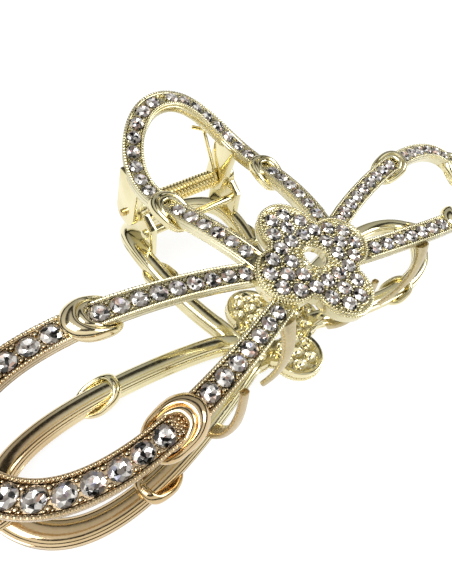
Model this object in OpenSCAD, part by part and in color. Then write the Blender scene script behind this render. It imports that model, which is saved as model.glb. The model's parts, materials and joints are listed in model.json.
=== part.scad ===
// Rhinestone claw hair clip: two identical cast jaws, turned back to back on one hinge pin
// and closed by a torsion spring.  +X along the hinge pin, +Y from the teeth to the thumb
// loops, +Z up out of the front jaw.  The clip lies closed on its rear jaw.

/* [Stones] */
// Spacing of the stones along a ribbon
pitch = 2.4; // [2.4:0.05:2.5]
// Diameter of a stone at its girdle
stone_d = 2.2; // [2.0:0.05:2.25]
// Height of a stone above its girdle
crown_h = 0.42; // [0.3:0.02:0.5]
// Depth of a stone below its girdle
pavilion_h = 0.9; // [0.7:0.05:0.95]

/* [Flower] */
// Radius of one petal
petal_r = 4.3; // [4.3:0.05:4.5]
// Distance from the flower's centre to a petal's centre
petal_reach = 5.75; // [5.7:0.05:5.9]
// Radius of the eyelet in the middle of the flower
eyelet_r = 1.65; // [1.2:0.05:1.8]
// Thickness of the flower plaque
plaque_t = 2.1; // [1.8:0.1:2.6]
// Width of the rim left round the hollow back
rim_w = 0.8; // [0.6:0.1:1.0]

/* [Ribbons] */
// Width of a ribbon over its two rails
ribbon_w = 3.2; // [3.1:0.05:3.5]
// Thickness of each rail
rail_t = 0.45; // [0.35:0.05:0.48]
// Depth of a ribbon from rail to back
ribbon_h = 2.25; // [2.1:0.05:2.6]
// Gauge radius of the knot wire
knot_wire_r = 0.55; // [0.4:0.05:0.55]

/* [Jaws] */
// Distance from the flower's face to the plane where the jaws meet
jaw_gap = 10.5; // [10:0.1:12]
// Angle between each jaw and the plane where the jaws meet
jaw_tilt = 5.5; // [4:0.5:6]
// Lean of the meeting plane when the clip lies on its rear jaw
lean = 2.6; // [2:0.1:3]

/* [Hinge] */
// Height of the pin above the table the clip lies on
pin_height = 13.47; // [13:0.01:15]
// Distance of the pin behind the middle of the clip
pin_behind = 14.78; // [14:0.01:16]
// Distance of the pin from the flower's centre, along the jaw
pin_y = 27.5; // [26.5:0.1:28.5]
// Radius of the hinge pin
pin_r = 0.6; // [0.5:0.05:0.7]
// Radial running clearance of the pin in the lugs
pin_play = 0.05; // [0.02:0.01:0.09]
// Length of the hinge pin
pin_len = 24.4; // [23.6:0.1:26]
// Thickness of a lug
lug_t = 1.5; // [1.2:0.05:1.6]
// Radius of the lug round the pin
lug_r = 2.4; // [2.0:0.1:2.6]
// Distance of the outer lug from the middle
outer_lug_x = 10.6; // [10.5:0.05:11]
// Distance of the inner lug from the middle
inner_lug_x = 8.9; // [8.7:0.05:8.9]

/* [Spring] */
// Radius of the spring's wire
spring_wire_r = 0.33; // [0.25:0.01:0.34]
// Radius of the coil at the middle of its wire
spring_r = 1.3; // [1.2:0.05:1.4]
// Number of turns in the coil
spring_turns = 21; // [18:1:21]

/* [Hidden] */

$fn = 32;
eps = 0.01;
gold = "#d9c27e";
deep_gold = "#c9a24a";
crystal = "#d8d2d6";

// Height of the pin in a jaw's own frame: the pin lies in the plane where the jaws meet
pin_z = -(jaw_gap + pin_y * sin(jaw_tilt)) / cos(jaw_tilt);

// Place of the bar that ties the lugs of the rear jaw together, in the same frame
tie_shoulder = 2.4;
tie_y = pin_y - lug_r - tie_shoulder + 1.2;
tie_z = pin_z + 3;

// Control points of the ribbons, in a jaw's own frame, from the flower outwards
tip = [46, 1.5, -1.5];
upper_ctrl = [[10, 3.2, -1], [15, 5.2, -1], [44, 12.7, 1.5], tip];
lower_ctrl = [[9, -3, -0.6], [30, -8.8, 2.5], [43.5, -10.6, 0], tip];
thumb_ctrl = [[7.5, 6, -1], [11.5, 24, -2.5], [11, 23, -11.5], [10.5, 36, -0.5], [0, 36, -0.5]];

// Stones along each ribbon, in pitches: first and last of the run inside the knot, then outside it
upper_runs = [[0, 8], [10.2, 15.2]];
lower_runs = [[0.7, 6.7], [9.3, 16.3]];
thumb_runs = [[0, 5], [7.7, 14.7]];
// Place of the knot on each ribbon, in pitches
upper_knot = 8.3;
lower_knot = 8.65;
thumb_knot = 5.65;

// Teeth: place along the jaw, then the curve of the tooth from its root to its tip
tooth_inner_x = -10.3;
tooth_inner_curve = [[-4.9, -0.9], [-8.2, -4], [-8.6, -9], [-8.0, -15]];
tooth_outer_x = 19.2;
tooth_outer_curve = [[-7.2, -0.7], [-10, -4], [-10.2, -10], [-9.4, -15.5]];

// ---- Curves -------------------------------------------------------------------------------

function lerp(a, b, t) = a + (b - a) * t;

// Point on the Bezier curve of any degree through its control points
function bezier(c, t) = len(c) == 1 ? c[0]
    : bezier([for (i = [0 : len(c) - 2]) lerp(c[i], c[i + 1], t)], t);

function bezier_path(c, n) = [for (i = [0 : n]) bezier(c, i / n)];

// Length along a path up to each of its points
function lengths(path) = [for (i = 0, a = 0; i < len(path); i = i + 1,
    a = i < len(path) ? a + norm(path[i] - path[i - 1]) : a) a];

// Point at distance s along a path
function walk(path, s) = let (l = lengths(path)) [for (k = [0 : 2])
    lookup(s, [for (i = [0 : len(path) - 1]) [l[i], path[i][k]]])];

function unit(v) = v / norm(v);

// Frame on a path: tangent, side and up, with up kept near +Z
function frame_of(t) = let (side = unit([t[1], -t[0], 0])) [t, side, cross(side, t)];

function tangent(path, i) = unit(path[min(i + 1, len(path) - 1)] - path[max(i - 1, 0)]);

// Ring of a profile at point p, where a profile point is [sideways, upwards]
function ring(p, f, profile) = [for (q = profile) p + q[0] * f[1] + q[1] * f[2]];

// Solid swept by joining rings of points
module skin(rings) {
    m = len(rings[0]);
    n = len(rings);
    points = [for (r = rings) each r];
    sides = [for (i = [0 : n - 2], j = [0 : m - 1])
        let (a = i * m + j, b = i * m + (j + 1) % m) each [[a, b, b + m], [a, b + m, a + m]]];
    caps = [[for (j = [m - 1 : -1 : 0]) j], [for (j = [0 : m - 1]) (n - 1) * m + j]];
    polyhedron(points, concat(sides, caps), convexity = 6);
}

// Children set at distance s along a path, with +X along it and +Z out of the stones
module at(path, s) {
    p = walk(path, s);
    d = unit(walk(path, s + 0.2) - walk(path, s - 0.2));
    translate(p) rotate([0, -asin(d[2]), atan2(d[1], d[0])]) children();
}

// ---- Stones -------------------------------------------------------------------------------

module stone() {
    r = stone_d / 2;
    girdle = 0.06;
    rotate_extrude($fn = 24) polygon([[0, -pavilion_h], [r, -girdle], [r, girdle],
        [r * 0.56, crown_h], [0, crown_h]]);
}

module stone_runs(path, runs) {
    for (run = runs, s = [run[0] : 1 : run[1] + eps]) at(path, s * pitch) stone();
}

// Seven stones of a petal, about its centre, with +X out of the flower
function petal_stones() = let (c = petal_reach) [[c, 0], [c - 2.05, 1.2], [c - 2.05, -1.2],
    [c + 0.1, 2.76], [c + 0.1, -2.76], [c + 2.03, 1.22], [c + 2.03, -1.22]];
corner = 3.55;

module on_flower() {
    for (turn = [0 : 90 : 270]) rotate(turn) {
        for (p = petal_stones()) translate(p) children();
        translate([corner, corner]) children();
    }
}

module flower_stones() color(crystal) on_flower() stone();

// ---- Flower plaque ------------------------------------------------------------------------

module flower_outline(inset = 0) {
    for (turn = [0 : 90 : 270]) rotate(turn) {
        translate([petal_reach, 0]) circle(petal_r - inset, $fn = 64);
        translate([corner, corner]) circle(stone_d / 2 + 0.55 - inset);
    }
    circle(petal_reach - 0.8, $fn = 64);
}

module flower_plaque() color(gold) {
    face = 0.1;
    seat_r = stone_d / 2 + 0.02;
    seat_depth = 0.4;
    web = 1.3;
    difference() {
        union() {
            translate([0, 0, face - plaque_t]) linear_extrude(plaque_t) flower_outline();
            // Webs under the flower that carry the thumb and upper ribbons
            for (side = [-1, 1]) translate([side * 7.3, 3.5, -3.2]) cylinder(r = 2.8, h = 2.0);
            cylinder(r = eyelet_r + 0.75, h = face + 0.25);
        }
        translate([0, 0, face - plaque_t - eps]) linear_extrude(plaque_t - web)
            difference() {
                flower_outline(rim_w);
                for (side = [-1, 1]) translate([side * 7.3, 3.5]) circle(2.8);
            }
        on_flower() translate([0, 0, face - seat_depth]) cylinder(r = seat_r, h = 1, $fn = 24);
        on_flower() translate([0, 0, -1.6]) cylinder(r = 0.86, h = 2, $fn = 24);
        translate([0, 0, -plaque_t - 1]) cylinder(r = eyelet_r, h = plaque_t + 2);
    }
}

// ---- Ribbons ------------------------------------------------------------------------------

// Channel section: two rails, a floor under the stones and a rounded back
function ribbon_profile() = let (w = ribbon_w / 2, c = w - rail_t, top = 0.15, low = top - ribbon_h)
    [[w, top], [c, top], [c, -1.0], [-c, -1.0], [-c, top], [-w, top], [-w, low + 1.1],
     [-w * 0.8, low + 0.4], [-w * 0.4, low], [w * 0.4, low], [w * 0.8, low + 0.4], [w, low + 1.1]];

module ribbon(ctrl, rings = 18) {
    path = bezier_path(ctrl, rings);
    skin([for (i = [0 : rings]) ring(path[i], frame_of(tangent(path, i)), ribbon_profile())]);
}

fine = 60;
upper_path = bezier_path(upper_ctrl, fine);
lower_path = bezier_path(lower_ctrl, fine);
thumb_path = bezier_path(thumb_ctrl, fine);

module upper_ribbon(side) color(gold) sided(side) ribbon(upper_ctrl);
module lower_ribbon(side) color(gold) sided(side) ribbon(lower_ctrl);
module thumb_ribbon(side) color(gold) sided(side) ribbon(thumb_ctrl);

// Mirrors its children to the left for side = -1
module sided(side) {
    if (side > 0) children();
    else mirror([1, 0, 0]) children();
}

module side_stones(side) color(crystal) sided(side) {
    stone_runs(upper_path, upper_runs);
    stone_runs(lower_path, lower_runs);
}

module thumb_stones() color(crystal) for (side = [-1, 1]) sided(side)
    stone_runs(thumb_path, thumb_runs);

// ---- Knots --------------------------------------------------------------------------------

// Hairpin of wire, its closed end towards +X and tipped up over the ribbon
module hairpin(wire_r, radius, leg, tip_up) rotate([0, -tip_up, 0]) {
    rotate(-90) rotate_extrude(angle = 180, $fn = 48)
        translate([radius, 0]) circle(wire_r, $fn = 20);
    for (side = [-1, 1]) translate([-leg, side * radius, 0]) rotate([0, 90, 0])
        cylinder(r = wire_r, h = leg, $fn = 20);
}

// Wide strand round the ribbon and a finer one tucked inside its closed end
module knot() {
    translate([0.9, 0, -0.2]) hairpin(knot_wire_r, 1.85, 4.2, 16);
    translate([0.5, 0, -0.1]) hairpin(knot_wire_r - 0.13, 1.5, 1.2, 32);
}

module side_knots(side) color(gold) sided(side) {
    at(upper_path, upper_knot * pitch) knot();
    at(lower_path, lower_knot * pitch) rotate(180) knot();
    translate(tip) rotate(90) knot();
}

module thumb_knots() color(gold) for (side = [-1, 1]) sided(side)
    at(thumb_path, thumb_knot * pitch) knot();

// ---- Teeth --------------------------------------------------------------------------------

// Blade with rounded edges that bows out of the jaw and then runs straight at the other one
module tooth(x, curve) color(gold) {
    rings = 10;
    w = 0.85;
    t = 0.62;
    profile = [for (a = [0 : 45 : 315]) [w * cos(a + 22.5), t * sin(a + 22.5)]];
    skin([for (i = [0 : rings]) let (
        p = bezier(curve, i / rings),
        d = unit(bezier(curve, min(1, i / rings + 0.02)) - bezier(curve, max(0, i / rings - 0.02))),
        out = [0, d[1], -d[0]])
        [for (q = profile) [x, p[0], p[1]] + q[0] * [1, 0, 0] + q[1] * out]]);
}

// ---- Hinge --------------------------------------------------------------------------------

// Flat lug that hangs from a thumb ribbon and carries the pin, with a wider shoulder for the tie
module lug(x, shoulder = 0) color(gold) {
    top_z = -6.0;
    front_y = pin_y - lug_r - shoulder;
    difference() {
        translate([x - lug_t / 2, 0, 0]) {
            translate([0, pin_y, pin_z]) rotate([0, 90, 0]) cylinder(r = lug_r, h = lug_t);
            translate([0, pin_y - lug_r, pin_z]) cube([lug_t, 2 * lug_r, top_z - pin_z]);
            if (shoulder > 0) translate([0, front_y, tie_z - 1.2])
                cube([lug_t, shoulder + lug_r, top_z - tie_z + 1.2]);
        }
        translate([x - lug_t, pin_y, pin_z]) rotate([0, 90, 0])
            cylinder(r = pin_r + pin_play, h = 2 * lug_t);
    }
}

// Round bar through the shoulders of the rear jaw's two lugs, riveted over outside the inner one
module lug_tie() color(gold) {
    proud = 0.7;
    from_x = -outer_lug_x - lug_t / 2;
    to_x = inner_lug_x + lug_t / 2 + proud;
    translate([from_x, tie_y, tie_z]) rotate([0, 90, 0])
        cylinder(r = 0.8, h = to_x - from_x, $fn = 24);
}

module hinge_pin() color(deep_gold) on_table() translate([-pin_len / 2, 0, 0])
    rotate([0, 90, 0]) cylinder(r = pin_r, h = pin_len);

// Wire of the spring: coil round the pin, with one straight hooked leg to each thumb loop
coil_len = 15.2;
leg_foot = to_pin([7.4, 32.4, -5.75]);
hook_end = leg_foot + [-1.9, 1.1, 0.3];
turn_steps = 12;

// Turns the point p half round about the line through the pin along the jaws
function half_turn(p) = [-p[0], p[1], -p[2]];

module torsion_spring() color(deep_gold) {
    sides = 8;
    // Angle round the pin at which the straight leg touches the coil
    start_a = atan2(leg_foot[2], leg_foot[1]) + acos(spring_r / norm([leg_foot[1], leg_foot[2]]));
    sweep_a = 360 * (spring_turns + 1) - 2 * start_a;
    n = spring_turns * turn_steps;
    coil = [for (i = [0 : n]) let (a = start_a + sweep_a * i / n)
        [coil_len * (0.5 - i / n), spring_r * cos(a), spring_r * sin(a)]];
    path = concat([hook_end, leg_foot], coil, [half_turn(leg_foot), half_turn(hook_end)]);
    on_table() skin([for (i = [0 : len(path) - 1]) let (
        d = tangent(path, i),
        u = unit(cross([1, 0, 0], d)),
        v = cross(d, u))
        [for (k = [0 : sides - 1]) let (a = 360 * k / sides)
            path[i] + spring_wire_r * (cos(a) * u + sin(a) * v)]]);
}

// ---- Frames -------------------------------------------------------------------------------

// Point of a jaw's own frame, seen from the pin with the meeting plane level
function to_pin(p) = let (y = p[1] - pin_y, z = p[2] - pin_z, a = jaw_tilt)
    [p[0], y * cos(a) - z * sin(a), y * sin(a) + z * cos(a)];

// Lays the clip, built about its pin, on its rear jaw
module on_table() translate([0, pin_behind, pin_height]) rotate([lean, 0, 0]) children();

module jaw() rotate([jaw_tilt, 0, 0]) translate([0, -pin_y, -pin_z]) children();

module front() on_table() jaw() children();

// The rear jaw is the front jaw turned half round about the line where the jaws meet
module rear() on_table() rotate([0, 180, 0]) jaw() children();

front() flower_plaque();  // front_flower_plaque
front() flower_stones();  // front_flower_stones
front() upper_ribbon(-1);  // front_left_upper_ribbon
front() lower_ribbon(-1);  // front_left_lower_ribbon
front() upper_ribbon(1);  // front_right_upper_ribbon
front() lower_ribbon(1);  // front_right_lower_ribbon
front() thumb_ribbon(-1);  // front_thumb_left_ribbon
front() thumb_ribbon(1);  // front_thumb_right_ribbon
front() side_stones(-1);  // front_left_stones
front() side_stones(1);  // front_right_stones
front() thumb_stones();  // front_thumb_stones
front() side_knots(-1);  // front_left_knots
front() side_knots(1);  // front_right_knots
front() thumb_knots();  // front_thumb_knots
front() tooth(tooth_inner_x, tooth_inner_curve);  // front_inner_tooth
front() tooth(tooth_outer_x, tooth_outer_curve);  // front_outer_tooth
front() lug(-outer_lug_x);  // front_outer_lug
front() lug(inner_lug_x);  // front_inner_lug
rear() flower_plaque();  // rear_flower_plaque
rear() flower_stones();  // rear_flower_stones
rear() upper_ribbon(1);  // rear_left_upper_ribbon
rear() lower_ribbon(1);  // rear_left_lower_ribbon
rear() upper_ribbon(-1);  // rear_right_upper_ribbon
rear() lower_ribbon(-1);  // rear_right_lower_ribbon
rear() thumb_ribbon(1);  // rear_thumb_left_ribbon
rear() thumb_ribbon(-1);  // rear_thumb_right_ribbon
rear() side_stones(1);  // rear_left_stones
rear() side_stones(-1);  // rear_right_stones
rear() thumb_stones();  // rear_thumb_stones
rear() side_knots(1);  // rear_left_knots
rear() side_knots(-1);  // rear_right_knots
rear() thumb_knots();  // rear_thumb_knots
rear() tooth(tooth_inner_x, tooth_inner_curve);  // rear_inner_tooth
rear() tooth(tooth_outer_x, tooth_outer_curve);  // rear_outer_tooth
rear() lug(-outer_lug_x, tie_shoulder);  // rear_outer_lug
rear() lug(inner_lug_x, tie_shoulder);  // rear_inner_lug
rear() lug_tie();  // rear_lug_tie
hinge_pin();
torsion_spring();
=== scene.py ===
"""Looks for the rhinestone claw hair clip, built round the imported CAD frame.

Every shape is worked out in a jaw's own frame, in millimetres: +X along the hinge, +Y towards the
thumb loops, +Z out of the jaw.  FRONT and REAR carry that frame to the world, in metres.
"""
import json
import math
import random

import bmesh
import bpy
from mathutils import Matrix, Vector


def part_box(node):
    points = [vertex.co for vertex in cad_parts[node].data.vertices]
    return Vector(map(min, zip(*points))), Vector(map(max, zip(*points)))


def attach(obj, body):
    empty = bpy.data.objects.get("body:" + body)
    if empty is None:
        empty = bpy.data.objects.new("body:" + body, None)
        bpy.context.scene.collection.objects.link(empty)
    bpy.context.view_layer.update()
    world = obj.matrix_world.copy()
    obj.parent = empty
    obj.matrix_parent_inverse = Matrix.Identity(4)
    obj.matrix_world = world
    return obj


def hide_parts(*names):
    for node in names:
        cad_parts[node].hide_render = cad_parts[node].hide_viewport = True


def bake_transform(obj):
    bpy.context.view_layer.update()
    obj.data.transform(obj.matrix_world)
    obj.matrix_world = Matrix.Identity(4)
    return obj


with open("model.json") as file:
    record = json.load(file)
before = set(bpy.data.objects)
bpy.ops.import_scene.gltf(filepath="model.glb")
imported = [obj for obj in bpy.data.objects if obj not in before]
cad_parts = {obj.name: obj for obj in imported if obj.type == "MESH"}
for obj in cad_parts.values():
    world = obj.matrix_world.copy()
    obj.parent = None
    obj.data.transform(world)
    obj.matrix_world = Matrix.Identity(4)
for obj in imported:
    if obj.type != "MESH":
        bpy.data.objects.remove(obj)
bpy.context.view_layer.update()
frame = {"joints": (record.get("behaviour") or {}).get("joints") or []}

# ---- Sizes, as in the CAD part (mm) --------------------------------------------------------
MM = 0.001
PITCH = 2.4
STONE_R = 1.1
PETAL_R = 4.3
PETAL_REACH = 5.75
CORNER = 3.55
CORNER_R = 1.65
EYELET_R = 1.65
JAW_GAP = 10.5
JAW_TILT = math.radians(5.5)
LEAN = math.radians(2.6)
PIN_Y = 27.5
PIN_Z = -(JAW_GAP + PIN_Y * math.sin(JAW_TILT)) / math.cos(JAW_TILT)
LUG_R = 2.4
LUG_T = 1.5
OUTER_LUG_X = 10.6
INNER_LUG_X = 8.9

TIP = (46, 1.5, -1.5)
UPPER = [(10, 3.2, -1), (15, 5.2, -1), (44, 12.7, 1.5), TIP]
LOWER = [(9, -3, -0.6), (30, -8.8, 2.5), (43.5, -10.6, 0), TIP]
THUMB = [(7.5, 6, -1), (11.5, 24, -2.5), (11, 23, -11.5), (10.5, 36, -0.5), (0, 36, -0.5)]
UPPER_RUNS = [(0, 8), (10.2, 15.2)]
LOWER_RUNS = [(0.7, 6.7), (9.3, 16.3)]
THUMB_RUNS = [(0, 5), (7.7, 14.7)]
UPPER_KNOT = 8.3
LOWER_KNOT = 8.65
THUMB_KNOT = 5.65
# How far the rear lugs' shoulder stands out towards the teeth, and how high above the pin it begins
TIE_SHOULDER = 2.4
TIE_RISE = 1.8

INNER_TOOTH = (-10.3, [(-4.9, -0.9), (-8.2, -4), (-8.6, -9), (-8.0, -15)])
OUTER_TOOTH = (19.2, [(-7.2, -0.7), (-10, -4), (-10.2, -10), (-9.4, -15.5)])

SPRING_R = 1.3
SPRING_WIRE_R = 0.33
SPRING_TURNS = 21
COIL_LEN = 15.2
# Where a leg meets the thumb ribbon, and the way its end is hooked from there
SPRING_FOOT = (7.4, 32.4, -5.75)
SPRING_HOOK = (-1.9, 1.1, 0.3)

# ---- Sizes that only the looks have (mm) ---------------------------------------------------
# How far each ribbon runs back into the flower
UPPER_ROOT = 3.6
LOWER_ROOT = 2.4
THUMB_ROOT = 4.0
# Where a lug ends inside its thumb ribbon, and its hole, a little over the CAD one
LUG_TOP = -5.6
LUG_HOLE_R = 0.66

# ---- Frames --------------------------------------------------------------------------------
hinge = next(j for j in frame["joints"] if j["name"] == "jaw_hinge")
pin_at = Vector(hinge["pos_m"])
AT_PIN = Matrix.Translation(pin_at) @ Matrix.Rotation(LEAN, 4, "X") @ Matrix.Scale(MM, 4)
JAW = Matrix.Rotation(JAW_TILT, 4, "X") @ Matrix.Translation((0, -PIN_Y, -PIN_Z))
FRONT = AT_PIN @ JAW
REAR = AT_PIN @ Matrix.Rotation(math.pi, 4, "Y") @ JAW
JAWS = {"front": (FRONT, "front_jaw"), "rear": (REAR, "rear_jaw")}


# ---- Curves --------------------------------------------------------------------------------
def bezier(ctrl, t):
    pts = [Vector(p) for p in ctrl]
    while len(pts) > 1:
        pts = [a.lerp(b, t) for a, b in zip(pts, pts[1:])]
    return pts[0]


class Path:
    """A Bezier curve walked by its length."""

    def __init__(self, ctrl, steps=240):
        self.points = [bezier(ctrl, i / steps) for i in range(steps + 1)]
        self.at = [0.0]
        for a, b in zip(self.points, self.points[1:]):
            self.at.append(self.at[-1] + (b - a).length)
        self.length = self.at[-1]

    def point(self, s):
        s = min(max(s, 0.0), self.length)
        i = max(k for k in range(len(self.at) - 1) if self.at[k] <= s)
        part = (s - self.at[i]) / (self.at[i + 1] - self.at[i])
        return self.points[i].lerp(self.points[i + 1], part)

    def frame(self, s):
        """Point, tangent, side and up at distance s."""
        t = (self.point(s + 0.1) - self.point(s - 0.1)).normalized()
        side = Vector((t.y, -t.x, 0)).normalized()
        return self.point(s), t, side, side.cross(t)


upper = Path(UPPER)
lower = Path(LOWER)
thumb = Path(THUMB)


# ---- Mesh building -------------------------------------------------------------------------
class Shell:
    """Vertices and faces collected in a jaw's own frame."""

    def __init__(self):
        self.verts = []
        self.faces = []

    def rings(self, rings, closed=False):
        """Joins rings of points; a closed list of rings makes a torus, an open one gets caps."""
        start, n, m = len(self.verts), len(rings), len(rings[0])
        for ring in rings:
            self.verts += [Vector(p) for p in ring]
        for i in range(n if closed else n - 1):
            a, b = start + i * m, start + (i + 1) % n * m
            self.faces += [(a + j, a + (j + 1) % m, b + (j + 1) % m, b + j) for j in range(m)]
        if not closed:
            self.faces.append(tuple(range(start + m - 1, start - 1, -1)))
            self.faces.append(tuple(range(start + (n - 1) * m, start + n * m)))

    def ball(self, centre, radius, squash=1.0, around=8, down=4):
        """A small bead, squashed along Z."""
        start = len(self.verts)
        c = Vector(centre)
        self.verts.append(c + Vector((0, 0, radius * squash)))
        for i in range(1, down):
            a = math.pi * i / down
            for j in range(around):
                b = math.tau * j / around
                away = (math.sin(a) * math.cos(b), math.sin(a) * math.sin(b), math.cos(a) * squash)
                self.verts.append(c + radius * Vector(away))
        self.verts.append(c - Vector((0, 0, radius * squash)))
        last = len(self.verts) - 1
        for j in range(around):
            k = (j + 1) % around
            self.faces.append((start, start + 1 + j, start + 1 + k))
            for i in range(down - 2):
                a, b = start + 1 + i * around, start + 1 + (i + 1) * around
                self.faces.append((a + j, b + j, b + k, a + k))
            a = start + 1 + (down - 2) * around
            self.faces.append((last, a + k, a + j))

    def add(self, verts, faces, matrix=Matrix()):
        start = len(self.verts)
        self.verts += [matrix @ Vector(v) for v in verts]
        self.faces += [tuple(start + i for i in f) for f in faces]

    def mirror(self):
        for v in self.verts:
            v.x = -v.x
        return self


def build(name, shell, matrix, material, slot, body, replaced, sharp=35, flat=False):
    """Makes the shell into a piece that rides on a body in place of CAD nodes."""
    mesh = bpy.data.meshes.new(name)
    mesh.from_pydata([matrix @ v for v in shell.verts], [], shell.faces)
    work = bmesh.new()
    work.from_mesh(mesh)
    bmesh.ops.recalc_face_normals(work, faces=work.faces)
    work.to_mesh(mesh)
    work.free()
    if flat:
        mesh.shade_flat()
    else:
        mesh.shade_smooth()
        mesh.set_sharp_from_angle(angle=math.radians(sharp))
    mesh.materials.append(material)
    piece = bpy.data.objects.new(name, mesh)
    bpy.context.scene.collection.objects.link(piece)
    if body:
        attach(piece, body)
    if replaced:
        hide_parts(*replaced)
    return piece


# ---- Materials -----------------------------------------------------------------------------
def node_material(name):
    material = bpy.data.materials.new(name)
    material.use_nodes = True
    tree = material.node_tree
    return material, tree, tree.nodes["Principled BSDF"]


def noise(tree, coords, scale, detail=2.0):
    node = tree.nodes.new("ShaderNodeTexNoise")
    node.inputs["Scale"].default_value = scale
    node.inputs["Detail"].default_value = detail
    tree.links.new(coords, node.inputs["Vector"])
    return node.outputs["Fac"]


def ramp(tree, value, stops):
    node = tree.nodes.new("ShaderNodeValToRGB")
    while len(node.color_ramp.elements) < len(stops):
        node.color_ramp.elements.new(0.5)
    for element, (at, colour) in zip(node.color_ramp.elements, stops):
        element.position = at
        element.color = (*colour, 1)
    tree.links.new(value, node.inputs["Fac"])
    return node.outputs["Color"]


def remap(tree, value, low, high, to_low=0.0, to_high=1.0):
    node = tree.nodes.new("ShaderNodeMapRange")
    limits = {"From Min": low, "From Max": high, "To Min": to_low, "To Max": to_high}
    for name, number in limits.items():
        node.inputs[name].default_value = number
    tree.links.new(value, node.inputs["Value"])
    return node.outputs["Result"]


def along(tree, vector, direction):
    """How far a vector reaches in a direction."""
    node = tree.nodes.new("ShaderNodeVectorMath")
    node.operation = "DOT_PRODUCT"
    node.inputs[1].default_value = direction
    tree.links.new(vector, node.inputs[0])
    return node.outputs["Value"]


def multiply(tree, a, b):
    both = tree.nodes.new("ShaderNodeMix")
    both.data_type = "RGBA"
    both.blend_type = "MULTIPLY"
    both.inputs["Factor"].default_value = 1.0
    tree.links.new(a, both.inputs[6])
    tree.links.new(b, both.inputs[7])
    return both.outputs[2]


def gold(name, light, dark, rough=0.12, ripple=0.06):
    """Polished gold plate over a casting: faint ripples, tarnish in broad patches, fine scuffs."""
    material, tree, shader = node_material(name)
    coords = tree.nodes.new("ShaderNodeTexCoord").outputs["Object"]
    shader.inputs["Metallic"].default_value = 1.0
    patches = ramp(tree, noise(tree, coords, 140, 3), [(0.35, dark), (0.65, light)])
    # Painted reflection: a rosy tone painted into the gold's colour towards the near left loop, set by
    # position
    reach = remap(tree, along(tree, coords, (-0.8, -0.6, 0.0)), 0.025, 0.035)
    painted_rosy_reflection = ramp(tree, reach, [(0.0, (1, 1, 1)), (1.0, (0.80, 0.66, 0.60))])
    tree.links.new(multiply(tree, patches, painted_rosy_reflection), shader.inputs["Base Color"])
    scuffs = noise(tree, coords, 2600, 4)
    spread = remap(tree, scuffs, 0.3, 0.75, rough * 0.6, rough * 1.7)
    tree.links.new(spread, shader.inputs["Roughness"])
    bump = tree.nodes.new("ShaderNodeBump")
    bump.inputs["Strength"].default_value = ripple
    bump.inputs["Distance"].default_value = 0.0002
    tree.links.new(noise(tree, coords, 900, 2), bump.inputs["Height"])
    tree.links.new(bump.outputs["Normal"], shader.inputs["Normal"])
    return material


def crystal():
    """Foil-backed cut glass with painted light: each facet's grey is painted light and shade set by the
    way it faces, broken up by painted black reflections and a few painted flecks of fire."""
    material, tree, shader = node_material("cut_crystal")
    coords = tree.nodes.new("ShaderNodeTexCoord")
    # Painted light and shade: each facet's grey is chosen by the way the facet faces
    facing = along(tree, coords.outputs["Normal"], (-0.15, -0.95, 0.0))
    painted_facet_light = ramp(tree, remap(tree, facing, -0.7, 0.7), [
        (0.0, (0.22, 0.195, 0.17)), (0.22, (0.32, 0.285, 0.255)), (0.40, (0.47, 0.425, 0.385)),
        (0.53, (0.40, 0.36, 0.325)), (0.64, (0.90, 0.88, 0.84)), (0.85, (0.98, 0.96, 0.93)),
        (0.95, (0.25, 0.23, 0.21))])
    # Painted reflections: small random cells painted black, white and in flecks of fire
    cells = tree.nodes.new("ShaderNodeTexVoronoi")
    cells.inputs["Scale"].default_value = 2300
    tree.links.new(coords.outputs["Object"], cells.inputs["Vector"])
    split = tree.nodes.new("ShaderNodeSeparateColor")
    tree.links.new(cells.outputs["Color"], split.inputs["Color"])
    painted_dark_spots_and_fire = ramp(tree, split.outputs["Red"], [
        (0.0, (0.02, 0.02, 0.02)), (0.19, (0.03, 0.03, 0.03)), (0.21, (0.55, 0.52, 0.50)),
        (0.45, (0.9, 0.88, 0.87)), (0.85, (1.0, 1.0, 1.0)), (0.955, (1.0, 0.62, 0.46)),
        (0.99, (0.72, 0.76, 1.0))])
    tree.links.new(multiply(tree, painted_facet_light, painted_dark_spots_and_fire), shader.inputs["Base Color"])
    shader.inputs["Metallic"].default_value = 0.55
    shader.inputs["Roughness"].default_value = 0.06
    shader.inputs["Coat Weight"].default_value = 1.0
    shader.inputs["Coat Roughness"].default_value = 0.02
    shader.inputs["Coat IOR"].default_value = 1.6
    return material


pale_gold = gold("pale_gold_plate", (0.88, 0.81, 0.53), (0.74, 0.66, 0.39))
wire_gold = gold("spring_wire_gold", (0.98, 0.86, 0.48), (0.90, 0.74, 0.34), rough=0.12, ripple=0.04)
pin_gold = gold("pin_wire_gold", (0.82, 0.66, 0.34), (0.66, 0.48, 0.20), rough=0.22, ripple=0.1)
beaded_gold = gold("beaded_gold_plate", (0.84, 0.785, 0.55), (0.60, 0.545, 0.34), rough=0.22)
tooth_gold = gold("tooth_gold_plate", (0.62, 0.53, 0.33), (0.50, 0.42, 0.25), rough=0.28)
cut_crystal = crystal()


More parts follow.
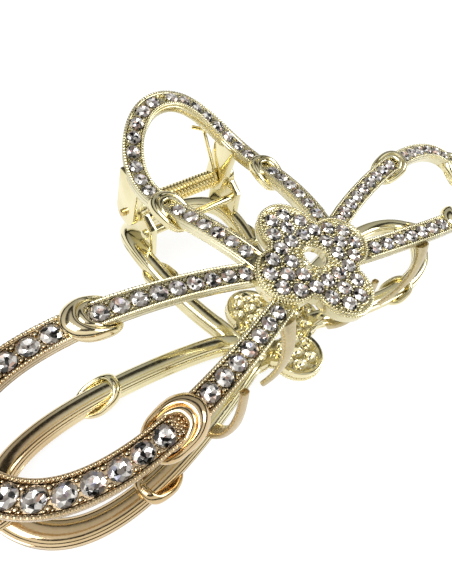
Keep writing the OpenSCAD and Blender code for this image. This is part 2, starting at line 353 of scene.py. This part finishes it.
# ---- Stones --------------------------------------------------------------------------------
def brilliant():
    """Round brilliant, 8-fold: crown with kites and stars, and a table sunk into a fan, which
    shows the facets behind the glass."""
    r, table_r, mid_r, fan_r = STONE_R, 0.62, 0.87, 0.33
    girdle_z, table_z, mid_z, fan_z, well_z = 0.06, 0.42, 0.29, 0.33, 0.24

    def polar(radius, step, z):
        a = math.tau * step / 16
        return (radius * math.cos(a), radius * math.sin(a), z)

    verts = [polar(r, k, -girdle_z) for k in range(16)]
    verts += [polar(r, k, girdle_z) for k in range(16)]
    verts += [polar(mid_r, 2 * k + 1, mid_z) for k in range(8)]
    verts += [polar(table_r, 2 * k, table_z) for k in range(8)]
    verts += [polar(fan_r, 2 * k + 1, fan_z) for k in range(8)]
    verts += [(0, 0, well_z), (0, 0, -0.9)]
    under, girdle, mid, table, fan, well, point = 0, 16, 32, 40, 48, 56, 57
    faces = []
    for k in range(16):
        n = (k + 1) % 16
        faces.append((under + k, under + n, girdle + n, girdle + k))
        faces.append((under + n, under + k, point))
    for k in range(8):
        n, g = (k + 1) % 8, 2 * k
        faces.append((girdle + g, girdle + g + 1, mid + k))
        faces.append((girdle + g + 1, girdle + (g + 2) % 16, mid + k))
        faces.append((table + k, mid + (k - 1) % 8, girdle + g, mid + k))
        faces.append((table + k, mid + k, table + n))
        faces.append((table + k, table + n, fan + k))
        faces.append((fan + k, table + n, fan + n))
        faces.append((fan + k, fan + n, well))
    return verts, faces


BRILLIANT = brilliant()
dice = random.Random(7)


def set_stone(shell, matrix):
    """Adds a stone with a little of a setter's unevenness."""
    turn = Matrix.Rotation(dice.uniform(0, math.tau), 4, "Z")
    tip = Matrix.Rotation(math.radians(dice.uniform(-4, 4)), 4, "X")
    shell.add(*BRILLIANT, matrix @ tip @ turn)


def run_places(runs):
    return [(first + i) * PITCH for first, last in runs for i in range(int(last - first + 1.01))]


def stone_row(shell, path, runs):
    for s in run_places(runs):
        p, t, side, up = path.frame(s)
        matrix = Matrix((t, -side, up)).transposed().to_4x4()
        matrix.translation = p
        set_stone(shell, matrix)


def flower_places():
    c = PETAL_REACH
    petal = [(c, 0), (c - 2.05, 1.2), (c - 2.05, -1.2), (c + 0.1, 2.76), (c + 0.1, -2.76),
             (c + 2.03, 1.22), (c + 2.03, -1.22), (CORNER, CORNER)]
    places = []
    for quarter in range(4):
        turn = Matrix.Rotation(math.radians(90 * quarter), 2)
        places += [turn @ Vector(p) for p in petal]
    return places


FLOWER_PLACES = flower_places()

# ---- Ribbons -------------------------------------------------------------------------------
FLOOR_U = -0.3
# Half of a ribbon's section, from the middle of its floor round the rail to the middle of its back
HALF_SECTION = [
    (0, FLOOR_U), (1.05, FLOOR_U), (1.14, -0.2), (1.16, 0.0), (1.22, 0.06), (1.54, 0.06), (1.6, 0.0),
    (1.6, -0.3), (1.54, -0.36), (1.54, -0.46), (1.6, -0.52), (1.6, -1.12), (1.56, -1.2), (1.47, -1.24),
    (1.45, -1.4), (1.33, -1.66), (1.1, -1.88), (0.8, -2.02), (0.4, -2.09), (0, -2.1)]
SECTION = HALF_SECTION + [(-s, u) for s, u in reversed(HALF_SECTION[1:-1])]
BEAD_PITCH = 0.44


def swept(shell, path, section, root, step=0.55):
    """The section along the path, run on back into the flower by the root and growing shallower."""
    p, t, side, up = path.frame(0)
    rings = []
    for i in range(8, 0, -1):
        back = i / 8
        flat = 1 - 0.5 * back ** 1.5
        middle = p - back * root * t - 0.12 * back * up
        rings.append([middle + s * side + u * flat * up for s, u in section])
    n = max(2, round(path.length / step))
    for i in range(n + 1):
        p, _, side, up = path.frame(path.length * i / n)
        rings.append([p + s * side + u * up for s, u in section])
    shell.rings(rings)


def bead_string(shell, path, s_off, u_off, radius=0.21):
    """Milgrain: a row of beads run together, as a string with waists."""
    n = round(path.length / BEAD_PITCH)
    waist = [0.45, 0.88, 1.0, 0.88]
    rings = []
    for i in range(n * len(waist) + 1):
        p, _, side, up = path.frame(path.length * i / (n * len(waist)))
        r = radius * waist[i % len(waist)]
        c = p + s_off * side + u_off * up
        rings.append([c + r * (math.cos(a) * side + math.sin(a) * up)
                      for a in (math.tau * k / 8 for k in range(8))])
    shell.rings(rings)


def prongs(shell, path, runs):
    """Raised grains in the gaps between the stones, against both rails."""
    for first, last in runs:
        for i in range(int(last - first + 1.01) + 1):
            p, t, side, up = path.frame((first + i - 0.5) * PITCH)
            for sign in (-1, 1):
                shell.ball(p + sign * 0.8 * side - 0.06 * up, 0.27)
                for shift in (-0.34, 0.34):
                    shell.ball(p + sign * 0.98 * side + shift * t - 0.04 * up, 0.15, around=6)
            shell.ball(p - 0.12 * up, 0.2)
    for (_, last), (first, _) in zip(runs, runs[1:]):
        knot_grains(shell, path, (last + 0.55) * PITCH, (first - 0.55) * PITCH)


def knot_grains(shell, path, start, end):
    """Rough floor between two runs of stones, where the knot lies."""
    rows = max(2, round((end - start) / 0.42))
    for i in range(rows + 1):
        p, _, side, up = path.frame(start + (end - start) * i / rows)
        for across in (-0.84, -0.42, 0.0, 0.42, 0.84):
            shell.ball(p + (across + dice.uniform(-0.08, 0.08)) * side - dice.uniform(0.2, 0.34) * up,
                       dice.uniform(0.2, 0.3), around=7)


def ribbon(path, runs, root):
    shell = Shell()
    swept(shell, path, SECTION, root)
    for sign in (-1, 1):
        bead_string(shell, path, sign * 1.38, 0.1)
    prongs(shell, path, runs)
    return shell


# ---- Knots ---------------------------------------------------------------------------------
# Half of each strand, from its middle at the closed end down one side of the ribbon: the wide one
# goes on under the back, where its two ends cross
WIDE_STRAND = [(2.65, 0, 0.42), (2.15, 1.35, 0.3), (0.95, 2.1, -0.1), (-0.5, 2.2, -0.75),
               (-1.8, 1.95, -1.5), (-2.5, 1.2, -2.25), (-2.7, 0.1, -2.55), (-2.6, -0.8, -2.3)]
FINE_STRAND = [(1.35, 0, 0.55), (1.05, 0.9, 0.42), (0.1, 1.45, 0.05), (-0.9, 1.7, -0.6)]


def smooth(points, steps=7):
    """Catmull-Rom curve through the points."""
    pts = [points[0] * 2 - points[1]] + points + [points[-1] * 2 - points[-2]]
    line = []
    for a, b, c, d in zip(pts, pts[1:], pts[2:], pts[3:]):
        for k in range(steps):
            t = k / steps
            line.append(0.5 * (2 * b + (c - a) * t + (2 * a - 5 * b + 4 * c - d) * t * t
                               + (3 * b - a - 3 * c + d) * t ** 3))
    return line + [points[-1]]


def strand(shell, matrix, half, broad, high):
    """Polished band wound on a ribbon, broad at its closed end and drawn out towards its ends."""
    half = [Vector(p) for p in half]
    line = smooth([Vector((p.x, -p.y, p.z)) for p in reversed(half[1:])] + half)
    n, sides = len(line) - 1, 16
    rings = []
    for i, p in enumerate(line):
        d = (line[min(i + 1, n)] - line[max(i - 1, 0)]).normalized()
        out = Vector((0.25 * p.x, p.y, p.z + 1.0))
        out = (out - out.dot(d) * d).normalized()
        across = d.cross(out)
        reach = abs(2 * i / n - 1)
        b = broad * (1 - 0.38 * reach ** 0.9)
        h = high * (1 - 0.2 * reach ** 3)
        rings.append([matrix @ (p + b * math.cos(a) * across + h * math.sin(a) * out)
                      for a in (math.tau * k / sides for k in range(sides))])
    shell.rings(rings)


def knot(shell, matrix):
    strand(shell, matrix, WIDE_STRAND, 1.0, 0.5)
    strand(shell, matrix, FINE_STRAND, 0.62, 0.42)


def at_path(path, s, turn=0):
    p, t, _, _ = path.frame(s)
    pitch = math.asin(max(-1, min(1, t.z)))
    heading = math.atan2(t.y, t.x)
    place = Matrix.Translation(p) @ Matrix.Rotation(heading, 4, "Z") @ Matrix.Rotation(-pitch, 4, "Y")
    return place @ Matrix.Rotation(math.radians(turn), 4, "Z")


def side_knots():
    shell = Shell()
    knot(shell, at_path(upper, UPPER_KNOT * PITCH))
    knot(shell, at_path(lower, LOWER_KNOT * PITCH, 180))
    knot(shell, Matrix.Translation(TIP) @ Matrix.Rotation(math.radians(90), 4, "Z"))
    return shell


def thumb_knots():
    shell = Shell()
    knot(shell, at_path(thumb, THUMB_KNOT * PITCH))
    other = Shell()
    knot(other, at_path(thumb, THUMB_KNOT * PITCH))
    other.mirror()
    shell.add(other.verts, other.faces)
    return shell


# ---- Flower --------------------------------------------------------------------------------
def outline_reach(angle, grow=0.0):
    """Distance from the middle to the flower's edge in a direction."""
    best = PETAL_REACH - 0.8
    circles = [(PETAL_REACH, 0, PETAL_R), (CORNER * math.sqrt(2), 45, CORNER_R)]
    for distance, offset, radius in circles:
        for quarter in range(4):
            d = angle - math.radians(90 * quarter + offset)
            across = distance * math.sin(d)
            if abs(across) < radius:
                best = max(best, distance * math.cos(d) + math.sqrt(radius ** 2 - across ** 2))
    return best + grow


def edge_gap(x, y):
    """How far inside the flower's edge a point is, roughly."""
    gap = 0.0
    for quarter in range(4):
        turn = Matrix.Rotation(math.radians(-90 * quarter), 2)
        p = turn @ Vector((x, y))
        gap = max(gap, PETAL_R - (p - Vector((PETAL_REACH, 0))).length,
                  CORNER_R - (p - Vector((CORNER, CORNER))).length)
    return max(gap, PETAL_REACH - 0.8 - math.hypot(x, y))


def nearest_stone(x, y):
    return min((Vector((x, y)) - p).length for p in FLOWER_PLACES)


def flower_top(x, y):
    if edge_gap(x, y) < 0.5 or math.hypot(x, y) < EYELET_R + 0.55:
        return 0.06
    return -0.75 if nearest_stone(x, y) < STONE_R + 0.02 else -0.22


def flower_back(x, y):
    """Hollow back: a smooth rim, a thin collar at the eyelet, and a round cell behind each stone."""
    rim = edge_gap(x, y) - 0.75
    if rim < 0:
        return -2.0
    if math.hypot(x, y) < EYELET_R + 0.6:
        return -1.2
    cell = max(0.0, 1 - (nearest_stone(x, y) / 1.2) ** 2)
    depth = -1.62 + 0.85 * cell
    return -2.0 + (depth + 2.0) * min(1.0, rim / 0.3)


def flower():
    shell = Shell()
    around, out, out_back = 300, 30, 44
    angles = [math.tau * k / around for k in range(around)]

    def ring(share, height, grow=0.0):
        pts = []
        for a in angles:
            r = EYELET_R + (outline_reach(a, grow) - EYELET_R) * share
            x, y = r * math.cos(a), r * math.sin(a)
            pts.append((x, y, height(x, y) if callable(height) else height))
        return pts

    rings = [ring(i / out, flower_top) for i in range(out + 1)]
    rings[0] = [(x, y, -0.05) for x, y, _ in rings[0]]
    rings[-1] = [(x, y, -0.02) for x, y, _ in rings[-1]]
    # Down the side, over a shallow groove for the lower row of beads
    side = [(-0.3, 0.0), (-0.36, -0.06), (-0.5, -0.06), (-0.56, 0.0), (-1.75, 0.0), (-1.93, -0.08)]
    rings += [ring(1, z, grow) for z, grow in side]
    rings += [ring(i / out_back, flower_back) for i in range(out_back - 1, -1, -1)]
    rings[-1] = [(x, y, -1.1) for x, y, _ in rings[-1]]
    shell.rings(rings, closed=True)
    # Beads round the face, round the side and round the eyelet
    grain_rim(shell, [outline_reach(a, -0.26) for a in angles], angles, 0.14, 0.21)
    grain_rim(shell, [outline_reach(a) for a in angles], angles, -0.43, 0.17)
    grain_rim(shell, [EYELET_R + 0.28] * around, angles, 0.2, 0.2)
    pave_grains(shell)
    return shell


def grain_rim(shell, reaches, angles, z, radius):
    """Beads set at even spacing round an outline."""
    pts = [Vector((r * math.cos(a), r * math.sin(a))) for r, a in zip(reaches, angles)]
    pts.append(pts[0])
    at, length = 0.0, 0.0
    for a, b in zip(pts, pts[1:]):
        step = (b - a).length
        while at < length + step:
            p = a.lerp(b, (at - length) / step)
            shell.ball((p.x, p.y, z), radius)
            at += BEAD_PITCH
        length += step


def pave_grains(shell):
    """Raised grains that hold the flower's stones, wherever there is room between them."""
    grain_dice = random.Random(3)
    placed = []
    for _ in range(9000):
        x, y = grain_dice.uniform(-10, 10), grain_dice.uniform(-10, 10)
        room = nearest_stone(x, y) - STONE_R
        if room < 0.06 or edge_gap(x, y) < 0.62 or math.hypot(x, y) < EYELET_R + 0.7:
            continue
        r = min(0.3, 0.16 + room * 0.35)
        if all((q[0] - x) ** 2 + (q[1] - y) ** 2 > (0.85 * (q[2] + r)) ** 2 for q in placed):
            placed.append((x, y, r))
            shell.ball((x, y, -0.08), r)


# ---- Teeth ---------------------------------------------------------------------------------
def tooth(x, curve):
    """Blade that bows out of the jaw, broad above and narrow at its cupped end."""
    shell = Shell()
    steps, sides = 26, 20
    ctrl = [(x, y, z) for y, z in curve]
    loops = []
    for i in range(steps + 1):
        t = i / steps
        p = bezier(ctrl, t)
        ahead = bezier(ctrl, min(1, t + 0.02))
        behind = bezier(ctrl, max(0, t - 0.02))
        d = (ahead - behind).normalized()
        out = Vector((0, d.z, -d.y))
        wide = 0.72 + 0.22 * math.sin(math.pi * min(1, 0.25 + t)) - 0.12 * t + 0.35 * (1 - t) ** 6
        thick = 0.56 - 0.1 * t + 0.3 * (1 - t) ** 6
        loops.append([p + wide * blade(a)[0] * Vector((1, 0, 0)) + thick * blade(a)[1] * out
                      for a in (math.tau * k / sides for k in range(sides))])
    end = loops[-1]
    middle = sum(end, Vector()) / sides
    inward = (bezier(ctrl, 0.96) - middle).normalized()
    loops.append([middle + (q - middle) * 0.8 for q in end])
    loops.append([middle + (q - middle) * 0.62 + 0.45 * inward for q in end])
    shell.rings(loops)
    return shell


def blade(a):
    """Unit section with flattened faces."""
    c, s = math.cos(a), math.sin(a)
    return math.copysign(abs(c) ** 0.7, c), math.copysign(abs(s) ** 0.7, s)


# ---- Hinge ---------------------------------------------------------------------------------
def lug(x, shoulder=0.0):
    """Flat strap round the pin with eased edges, running up under a thumb ribbon."""
    shell = Shell()
    top = LUG_TOP - PIN_Z
    angles = [math.tau * (k + 0.5) / 96 for k in range(96)]
    # Edges above the pin, as outward directions and distances: behind, top, in front
    edges = [((1, 0), LUG_R), ((0, 1), top), ((-1, 0), LUG_R + shoulder)]
    if shoulder:
        flare = Vector((-TIE_RISE, -shoulder)).normalized()
        edges.append((tuple(flare), -flare.x * LUG_R))

    def reach(a, inset):
        c, s = math.cos(a), math.sin(a)
        if s <= 0:
            return LUG_R - inset
        return min((d - inset) / (n[0] * c + n[1] * s) for n, d in edges if n[0] * c + n[1] * s > 1e-6)

    def loop(dx, inset, hole=False):
        return [(x + dx, PIN_Y + r * math.cos(a), PIN_Z + r * math.sin(a))
                for a in angles for r in [LUG_HOLE_R if hole else reach(a, inset)]]

    half, ease = LUG_T / 2, 0.18
    face = [(half - ease, 0), (half - ease * 0.3, ease * 0.3), (half, ease)]
    edge = [(-dx, inset) for dx, inset in reversed(face)] + face
    shell.rings([loop(-half, 0, True)] + [loop(dx, inset) for dx, inset in edge]
                + [loop(half, 0, True)], closed=True)
    return shell


def lathe(length, radius, head):
    """Round bar along X about the pin, with domed ends."""
    dome = [(0, 0.02), (0, radius * 0.5), (0.12, radius * 0.82), (head, radius)]
    profile = dome + [(length - x, r) for x, r in reversed(dome)]
    shell = Shell()
    shell.rings([[(x, r * math.cos(a), r * math.sin(a)) for a in (math.tau * k / 24 for k in range(24))]
                 for x, r in profile])
    return shell


def spring():
    """One wire: hook and leg at the front thumb ribbon, the coil, and the twin leg at the rear."""
    foot = JAW @ Vector(SPRING_FOOT)
    hook = foot + Vector(SPRING_HOOK)
    reach = math.hypot(foot.y, foot.z)
    start = math.atan2(foot.z, foot.y) + math.acos(SPRING_R / reach)
    sweep = math.tau * (SPRING_TURNS + 1) - 2 * start
    n = SPRING_TURNS * 20
    coil = [Vector((COIL_LEN * (0.5 - i / n), SPRING_R * math.cos(start + sweep * i / n),
                    SPRING_R * math.sin(start + sweep * i / n))) for i in range(n + 1)]
    leg = [hook.lerp(foot, k / 4) for k in range(4)] + [foot.lerp(coil[0], k / 12) for k in range(12)]
    twin_leg = [Vector((-p.x, p.y, -p.z)) for p in reversed(leg)]
    path = leg + coil + twin_leg
    shell = Shell()
    rings = []
    for i, p in enumerate(path):
        d = (path[min(i + 1, len(path) - 1)] - path[max(i - 1, 0)]).normalized()
        u = Vector((1, 0, 0)).cross(d).normalized()
        v = d.cross(u)
        rings.append([p + SPRING_WIRE_R * (math.cos(a) * u + math.sin(a) * v)
                      for a in (math.tau * k / 10 for k in range(10))])
    shell.rings(rings)
    return shell


# ---- Assembly ------------------------------------------------------------------------------
def make_jaw(jaw):
    matrix, body = JAWS[jaw]
    # In the rear jaw, turned half round, the casting's right side is the clip's left
    sides = {1: "right", -1: "left"} if jaw == "front" else {1: "left", -1: "right"}

    def piece(name, shell, node, material=pale_gold, slot="pale_gold", **how):
        build(f"{jaw}_{name}", shell, matrix, material, slot, body, [f"{jaw}_{node}"], **how)

    def stones(name, shell, node):
        piece(name, shell, node, cut_crystal, "crystal", flat=True)

    cast_gold = beaded_gold if jaw == "front" else pale_gold
    piece("flower_casting", flower(), "flower_plaque", cast_gold, sharp=50)
    shell = Shell()
    for p in FLOWER_PLACES:
        set_stone(shell, Matrix.Translation((p.x, p.y, 0)))
    stones("flower_crystals", shell, "flower_stones")

    thumb_stones = Shell()
    for sign, side in sides.items():
        def sided(shell):
            return shell if sign > 0 else shell.mirror()
        arms = [(f"{side}_upper", upper, UPPER_RUNS, UPPER_ROOT),
                (f"{side}_lower", lower, LOWER_RUNS, LOWER_ROOT),
                (f"thumb_{side}", thumb, THUMB_RUNS, THUMB_ROOT)]
        for name, path, runs, root in arms:
            piece(f"{name}_arm", sided(ribbon(path, runs, root)), f"{name}_ribbon", cast_gold)
        row = Shell()
        stone_row(row, upper, UPPER_RUNS)
        stone_row(row, lower, LOWER_RUNS)
        stones(f"{side}_crystals", sided(row), f"{side}_stones")
        row = Shell()
        stone_row(row, thumb, THUMB_RUNS)
        sided(row)
        thumb_stones.add(row.verts, row.faces)
        piece(f"{side}_strands", sided(side_knots()), f"{side}_knots")
    stones("thumb_crystals", thumb_stones, "thumb_stones")
    piece("thumb_strands", thumb_knots(), "thumb_knots")
    piece("inner_prong", tooth(*INNER_TOOTH), "inner_tooth", tooth_gold)
    piece("outer_prong", tooth(*OUTER_TOOTH), "outer_tooth", tooth_gold)
    shoulder = TIE_SHOULDER if jaw == "rear" else 0.0
    piece("outer_strap", lug(-OUTER_LUG_X, shoulder), "outer_lug")
    piece("inner_strap", lug(INNER_LUG_X, shoulder), "inner_lug")


for jaw_name in JAWS:
    make_jaw(jaw_name)

coil = build("sprung_wire", spring(), AT_PIN, wire_gold, "spring_wire", None, ["torsion_spring"])
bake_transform(coil)

pin_lo, pin_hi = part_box("hinge_pin")
pin_len = (pin_hi[0] - pin_lo[0]) / MM
build("peened_pin", lathe(pin_len, 0.6, 0.2), AT_PIN @ Matrix.Translation((-pin_len / 2, 0, 0)),
      pin_gold, "pin_wire", "rear_jaw", ["hinge_pin"])
tie_lo, tie_hi = (Vector(c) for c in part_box("rear_lug_tie"))
tie_mid = (tie_lo + tie_hi) / 2
tie_len = (tie_hi.x - tie_lo.x) / MM
build("riveted_tie", lathe(tie_len, 0.8, 0.25),
      Matrix.Translation((tie_lo.x, tie_mid.y, tie_mid.z)) @ Matrix.Scale(MM, 4),
      pale_gold, "pale_gold", "rear_jaw", ["rear_lug_tie"])


# ---- Studio --------------------------------------------------------------------------------
def make_floor():
    mesh = bpy.data.meshes.new("floor")
    half = 1.2
    corners = [(-half, -half, 0), (half, -half, 0), (half, half, 0), (-half, half, 0)]
    mesh.from_pydata(corners, [], [(0, 1, 2, 3)])
    material, tree, shader = node_material("pale_floor")
    shader.inputs["Base Color"].default_value = (0.22, 0.22, 0.218, 1)
    shader.inputs["Roughness"].default_value = 0.9
    shader.inputs["Specular IOR Level"].default_value = 0.0
    shader.inputs["Emission Color"].default_value = (1, 1, 0.995, 1)
    shader.inputs["Emission Strength"].default_value = 0.86
    mesh.materials.append(material)
    floor = bpy.data.objects.new("floor", mesh)
    bpy.context.scene.collection.objects.link(floor)


def make_world():
    """White studio; what the metal reflects has dark bands, as between soft boxes."""
    world = bpy.data.worlds.new("studio")
    bpy.context.scene.world = world
    world.use_nodes = True
    tree = world.node_tree
    back = tree.nodes["Background"]
    coords = tree.nodes.new("ShaderNodeTexCoord").outputs["Generated"]
    split = tree.nodes.new("ShaderNodeSeparateXYZ")
    tree.links.new(coords, split.inputs["Vector"])
    bands = ramp(tree, remap(tree, split.outputs["Z"], -1, 1), [
        (0.0, (0.5, 0.5, 0.48)), (0.50, (0.4, 0.4, 0.36)), (0.515, (0.012, 0.014, 0.008)),
        (0.61, (0.02, 0.022, 0.013)), (0.64, (0.95, 0.94, 0.88)), (0.74, (1.0, 1.0, 0.97)),
        (0.83, (1.05, 1.05, 1.02)), (0.86, (0.06, 0.056, 0.05)), (0.93, (0.06, 0.056, 0.05)),
        (0.965, (0.95, 0.95, 0.95))])
    # The near side is the bright one, the far side falls off to a warm grey
    near = along(tree, coords, (-0.45, -0.8, 0.1))
    falloff = remap(tree, near, -0.7, 0.6, 0.42, 1.05)
    shade = tree.nodes.new("ShaderNodeVectorMath")
    shade.operation = "SCALE"
    tree.links.new(bands, shade.inputs[0])
    tree.links.new(falloff, shade.inputs["Scale"])
    path = tree.nodes.new("ShaderNodeLightPath")
    mix = tree.nodes.new("ShaderNodeMix")
    mix.data_type = "RGBA"
    tree.links.new(path.outputs["Is Camera Ray"], mix.inputs["Factor"])
    tree.links.new(shade.outputs["Vector"], mix.inputs[6])
    mix.inputs[7].default_value = (1, 1, 1, 1)
    tree.links.new(mix.outputs[2], back.inputs["Color"])


def soft_box(name, place, towards, size, power):
    data = bpy.data.lights.new(name, "AREA")
    data.shape = "RECTANGLE"
    data.size, data.size_y = size
    data.energy = power
    lamp = bpy.data.objects.new(name, data)
    lamp.location = place
    lamp.rotation_mode = "QUATERNION"
    lamp.rotation_quaternion = (Vector(towards) - Vector(place)).to_track_quat("-Z", "Y")
    bpy.context.scene.collection.objects.link(lamp)


def make_camera():
    """Where the photograph was taken from, in the front jaw's frame: above the left arm, close in."""
    eye = FRONT @ Vector((-41.7, -12.05, 41.6))
    turn = FRONT.to_3x3().normalized()
    right = turn @ Vector((0.738, -0.620, 0.266))
    ahead = turn @ Vector((0.522, 0.274, -0.808))
    ahead.normalize()
    right = (right - right.dot(ahead) * ahead).normalized()
    down = ahead.cross(right)
    data = bpy.data.cameras.new("camera")
    data.sensor_width = 36
    data.lens = 26.49
    data.clip_start, data.clip_end = 0.005, 10
    camera = bpy.data.objects.new("camera", data)
    camera.matrix_world = Matrix((right, -down, -ahead)).transposed().to_4x4()
    camera.matrix_world.translation = eye
    bpy.context.scene.collection.objects.link(camera)
    bpy.context.scene.camera = camera


make_floor()
make_world()
soft_box("key", (-0.25, -0.05, 0.35), (0, 0, 0.01), (0.22, 0.22), 1.3)
soft_box("fill", (0.3, -0.2, 0.25), (0, 0, 0.01), (0.2, 0.2), 0.6)
make_camera()
bpy.context.scene.view_settings.view_transform = "Standard"
